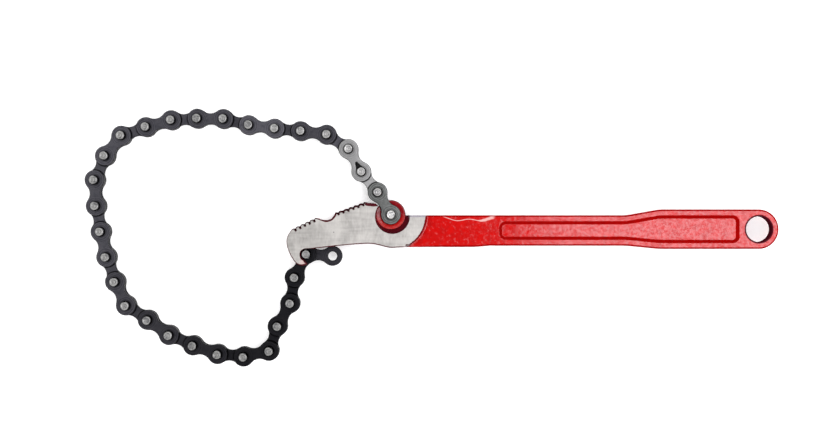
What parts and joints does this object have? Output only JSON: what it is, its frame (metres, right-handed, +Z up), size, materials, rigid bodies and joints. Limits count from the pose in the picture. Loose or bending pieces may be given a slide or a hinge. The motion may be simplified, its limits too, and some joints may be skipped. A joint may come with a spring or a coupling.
{
  "type": "chain wrench",
  "caption": "Chain wrench: a forged handle with a toothed, forked head, and a flat leaf chain hooked back to the head round a pipe-sized loop.",
  "frame": {"origin": "middle of the bounding box at floor level, with the wrench lying flat", "axes": "+X along the handle towards its hanging hole, +Y from the head towards the chain's anchor side, +Z up out of the flat side"},
  "size_m": [0.4214, 0.1566, 0.018],
  "materials": {
    "red_paint": "glossy red enamel over forged steel; the head's faces are ground bare",
    "chain_steel": "dark oiled steel",
    "bright_link_steel": "lighter plain steel of the links by the anchor",
    "pin_steel": "bright riveted pin ends"
  },
  "bodies": {
    "wrench": {"wrench_body": "red_paint"},
    "link_01": {"outer_plate_upper_01": "bright_link_steel", "pin_plate_01": "pin_steel"},
    "link_02": {"inner_plate_upper_02": "bright_link_steel", "inner_plate_lower_02": "bright_link_steel"},
    "link_03": {"connecting_plate_03": "bright_link_steel", "pin_plate_03": "pin_steel"},
    "link_04": {"inner_plate_upper_04": "chain_steel", "inner_plate_lower_04": "chain_steel"},
    "link_05": {"outer_plate_upper_05": "chain_steel", "pin_plate_05": "pin_steel"},
    "link_06": {"inner_plate_upper_06": "chain_steel", "inner_plate_lower_06": "chain_steel"},
    "link_07": {"outer_plate_upper_07": "chain_steel", "pin_plate_07": "pin_steel"},
    "link_08": {"inner_plate_upper_08": "chain_steel", "inner_plate_lower_08": "chain_steel"},
    "link_09": {"outer_plate_upper_09": "chain_steel", "pin_plate_09": "pin_steel"},
    "link_10": {"inner_plate_upper_10": "chain_steel", "inner_plate_lower_10": "chain_steel"},
    "link_11": {"outer_plate_upper_11": "chain_steel", "pin_plate_11": "pin_steel"},
    "link_12": {"inner_plate_upper_12": "chain_steel", "inner_plate_lower_12": "chain_steel"},
    "link_13": {"outer_plate_upper_13": "chain_steel", "pin_plate_13": "pin_steel"},
    "link_14": {"inner_plate_upper_14": "chain_steel", "inner_plate_lower_14": "chain_steel"},
    "link_15": {"outer_plate_upper_15": "chain_steel", "pin_plate_15": "pin_steel"},
    "link_16": {"inner_plate_upper_16": "chain_steel", "inner_plate_lower_16": "chain_steel"},
    "link_17": {"outer_plate_upper_17": "chain_steel", "pin_plate_17": "pin_steel"},
    "link_18": {"inner_plate_upper_18": "chain_steel", "inner_plate_lower_18": "chain_steel"},
    "link_19": {"outer_plate_upper_19": "chain_steel", "pin_plate_19": "pin_steel"},
    "link_20": {"inner_plate_upper_20": "chain_steel", "inner_plate_lower_20": "chain_steel"},
    "link_21": {"outer_plate_upper_21": "chain_steel", "pin_plate_21": "pin_steel"},
    "link_22": {"inner_plate_upper_22": "chain_steel", "inner_plate_lower_22": "chain_steel"},
    "link_23": {"outer_plate_upper_23": "chain_steel", "pin_plate_23": "pin_steel"},
    "link_24": {"inner_plate_upper_24": "chain_steel", "inner_plate_lower_24": "chain_steel"},
    "link_25": {"outer_plate_upper_25": "chain_steel", "pin_plate_25": "pin_steel"},
    "link_26": {"inner_plate_upper_26": "chain_steel", "inner_plate_lower_26": "chain_steel"},
    "link_27": {"outer_plate_upper_27": "chain_steel", "pin_plate_27": "pin_steel"},
    "link_28": {"inner_plate_upper_28": "chain_steel", "inner_plate_lower_28": "chain_steel"},
    "link_29": {"outer_plate_upper_29": "chain_steel", "pin_plate_29": "pin_steel"},
    "link_30": {"end_link_30": "chain_steel"}
  },
  "joints": [
    {"name": "pin_01", "type": "hinge", "parent": "wrench", "child": "link_01", "pos_m": [-0.02471, 0.01391, 0.009], "axis": [0, 0, 1], "range_deg": [-60, 0]},
    {"name": "pin_02", "type": "hinge", "parent": "link_01", "child": "link_02", "pos_m": [-0.03276, 0.02759, 0.009], "axis": [0, 0, 1], "range_deg": [0, 73]},
    {"name": "pin_03", "type": "hinge", "parent": "link_02", "child": "link_03", "pos_m": [-0.04264, 0.04002, 0.009], "axis": [0, 0, 1], "range_deg": [0, 20]},
    {"name": "pin_04", "type": "hinge", "parent": "link_03", "child": "link_04", "pos_m": [-0.05044, 0.05384, 0.009], "axis": [0, 0, 1], "range_deg": [-10, 0]},
    {"name": "pin_05", "type": "hinge", "parent": "link_04", "child": "link_05", "pos_m": [-0.06368, 0.06261, 0.009], "axis": [0, 0, 1], "range_deg": [0, 40]},
    {"name": "pin_06", "type": "hinge", "parent": "link_05", "child": "link_06", "pos_m": [-0.07941, 0.06472, 0.009], "axis": [0, 0, 1], "range_deg": [-31, 0]},
    {"name": "pin_07", "type": "hinge", "parent": "link_06", "child": "link_07", "pos_m": [-0.09521, 0.06628, 0.009], "axis": [0, 0, 1], "range_deg": [0, 40]},
    {"name": "pin_08", "type": "hinge", "parent": "link_07", "child": "link_08", "pos_m": [-0.11095, 0.06838, 0.009], "axis": [0, 0, 1], "range_deg": [-35, 0]},
    {"name": "pin_09", "type": "hinge", "parent": "link_08", "child": "link_09", "pos_m": [-0.12638, 0.07211, 0.009], "axis": [0, 0, 1], "range_deg": [0, 40]},
    {"name": "pin_10", "type": "hinge", "parent": "link_09", "child": "link_10", "pos_m": [-0.14225, 0.07229, 0.009], "axis": [0, 0, 1], "range_deg": [-36.2, 0]},
    {"name": "pin_11", "type": "hinge", "parent": "link_10", "child": "link_11", "pos_m": [-0.1581, 0.07138, 0.009], "axis": [0, 0, 1], "range_deg": [0, 40]},
    {"name": "pin_12", "type": "hinge", "parent": "link_11", "child": "link_12", "pos_m": [-0.17342, 0.0672, 0.009], "axis": [0, 0, 1], "range_deg": [-38.2, 0]},
    {"name": "pin_13", "type": "hinge", "parent": "link_12", "child": "link_13", "pos_m": [-0.18841, 0.06198, 0.009], "axis": [0, 0, 1], "range_deg": [0, 40]},
    {"name": "pin_14", "type": "hinge", "parent": "link_13", "child": "link_14", "pos_m": [-0.19841, 0.04965, 0.009], "axis": [0, 0, 1], "range_deg": [-41.8, 0]},
    {"name": "pin_15", "type": "hinge", "parent": "link_14", "child": "link_15", "pos_m": [-0.20466, 0.03506, 0.009], "axis": [0, 0, 1], "range_deg": [0, 40]},
    {"name": "pin_16", "type": "hinge", "parent": "link_15", "child": "link_16", "pos_m": [-0.20393, 0.0192, 0.009], "axis": [0, 0, 1], "range_deg": [-45.8, 0]},
    {"name": "pin_17", "type": "hinge", "parent": "link_16", "child": "link_17", "pos_m": [-0.20101, 0.0036, 0.009], "axis": [0, 0, 1], "range_deg": [0, 40]},
    {"name": "pin_18", "type": "hinge", "parent": "link_17", "child": "link_18", "pos_m": [-0.19755, -0.01189, 0.009], "axis": [0, 0, 1], "range_deg": [-48.2, 0]},
    {"name": "pin_19", "type": "hinge", "parent": "link_18", "child": "link_19", "pos_m": [-0.19223, -0.02685, 0.009], "axis": [0, 0, 1], "range_deg": [0, 40]},
    {"name": "pin_20", "type": "hinge", "parent": "link_19", "child": "link_20", "pos_m": [-0.18563, -0.04129, 0.009], "axis": [0, 0, 1], "range_deg": [-48.2, 0]},
    {"name": "pin_21", "type": "hinge", "parent": "link_20", "child": "link_21", "pos_m": [-0.17239, -0.05005, 0.009], "axis": [0, 0, 1], "range_deg": [0, 40]},
    {"name": "pin_22", "type": "hinge", "parent": "link_21", "child": "link_22", "pos_m": [-0.15946, -0.05926, 0.009], "axis": [0, 0, 1], "range_deg": [-52.2, 0]},
    {"name": "pin_23", "type": "hinge", "parent": "link_22", "child": "link_23", "pos_m": [-0.1449, -0.06557, 0.009], "axis": [0, 0, 1], "range_deg": [-45, 0]},
    {"name": "pin_24", "type": "hinge", "parent": "link_23", "child": "link_24", "pos_m": [-0.12993, -0.07085, 0.009], "axis": [0, 0, 1], "range_deg": [-45, 0]},
    {"name": "pin_25", "type": "hinge", "parent": "link_24", "child": "link_25", "pos_m": [-0.11412, -0.07234, 0.009], "axis": [0, 0, 1], "range_deg": [-45, 0]},
    {"name": "pin_26", "type": "hinge", "parent": "link_25", "child": "link_26", "pos_m": [-0.09864, -0.06883, 0.009], "axis": [0, 0, 1], "range_deg": [-90, 0]},
    {"name": "pin_27", "type": "hinge", "parent": "link_26", "child": "link_27", "pos_m": [-0.09352, -0.0538, 0.009], "axis": [0, 0, 1], "range_deg": [-45, 0]},
    {"name": "pin_28", "type": "hinge", "parent": "link_27", "child": "link_28", "pos_m": [-0.08586, -0.0399, 0.009], "axis": [0, 0, 1], "range_deg": [-45, 0]},
    {"name": "pin_29", "type": "hinge", "parent": "link_28", "child": "link_29", "pos_m": [-0.08318, -0.02425, 0.009], "axis": [0, 0, 1], "range_deg": [-45, 0]},
    {"name": "pin_30", "type": "hinge", "parent": "link_29", "child": "link_30", "pos_m": [-0.07601, -0.01009, 0.009], "axis": [0, 0, 1], "range_deg": [-60, 6]}
  ],
  "couplings": [
    {"joint": "pin_02", "follows": "pin_01", "ratio": -1.2},
    {"joint": "pin_04", "follows": "pin_03", "ratio": -0.45},
    {"joint": "pin_06", "follows": "pin_05", "ratio": -0.75},
    {"joint": "pin_08", "follows": "pin_07", "ratio": -0.85},
    {"joint": "pin_10", "follows": "pin_09", "ratio": -0.88},
    {"joint": "pin_12", "follows": "pin_11", "ratio": -0.93},
    {"joint": "pin_14", "follows": "pin_13", "ratio": -1.02},
    {"joint": "pin_16", "follows": "pin_15", "ratio": -1.12},
    {"joint": "pin_18", "follows": "pin_17", "ratio": -1.18},
    {"joint": "pin_20", "follows": "pin_19", "ratio": -1.18},
    {"joint": "pin_22", "follows": "pin_21", "ratio": -1.28}
  ]
}
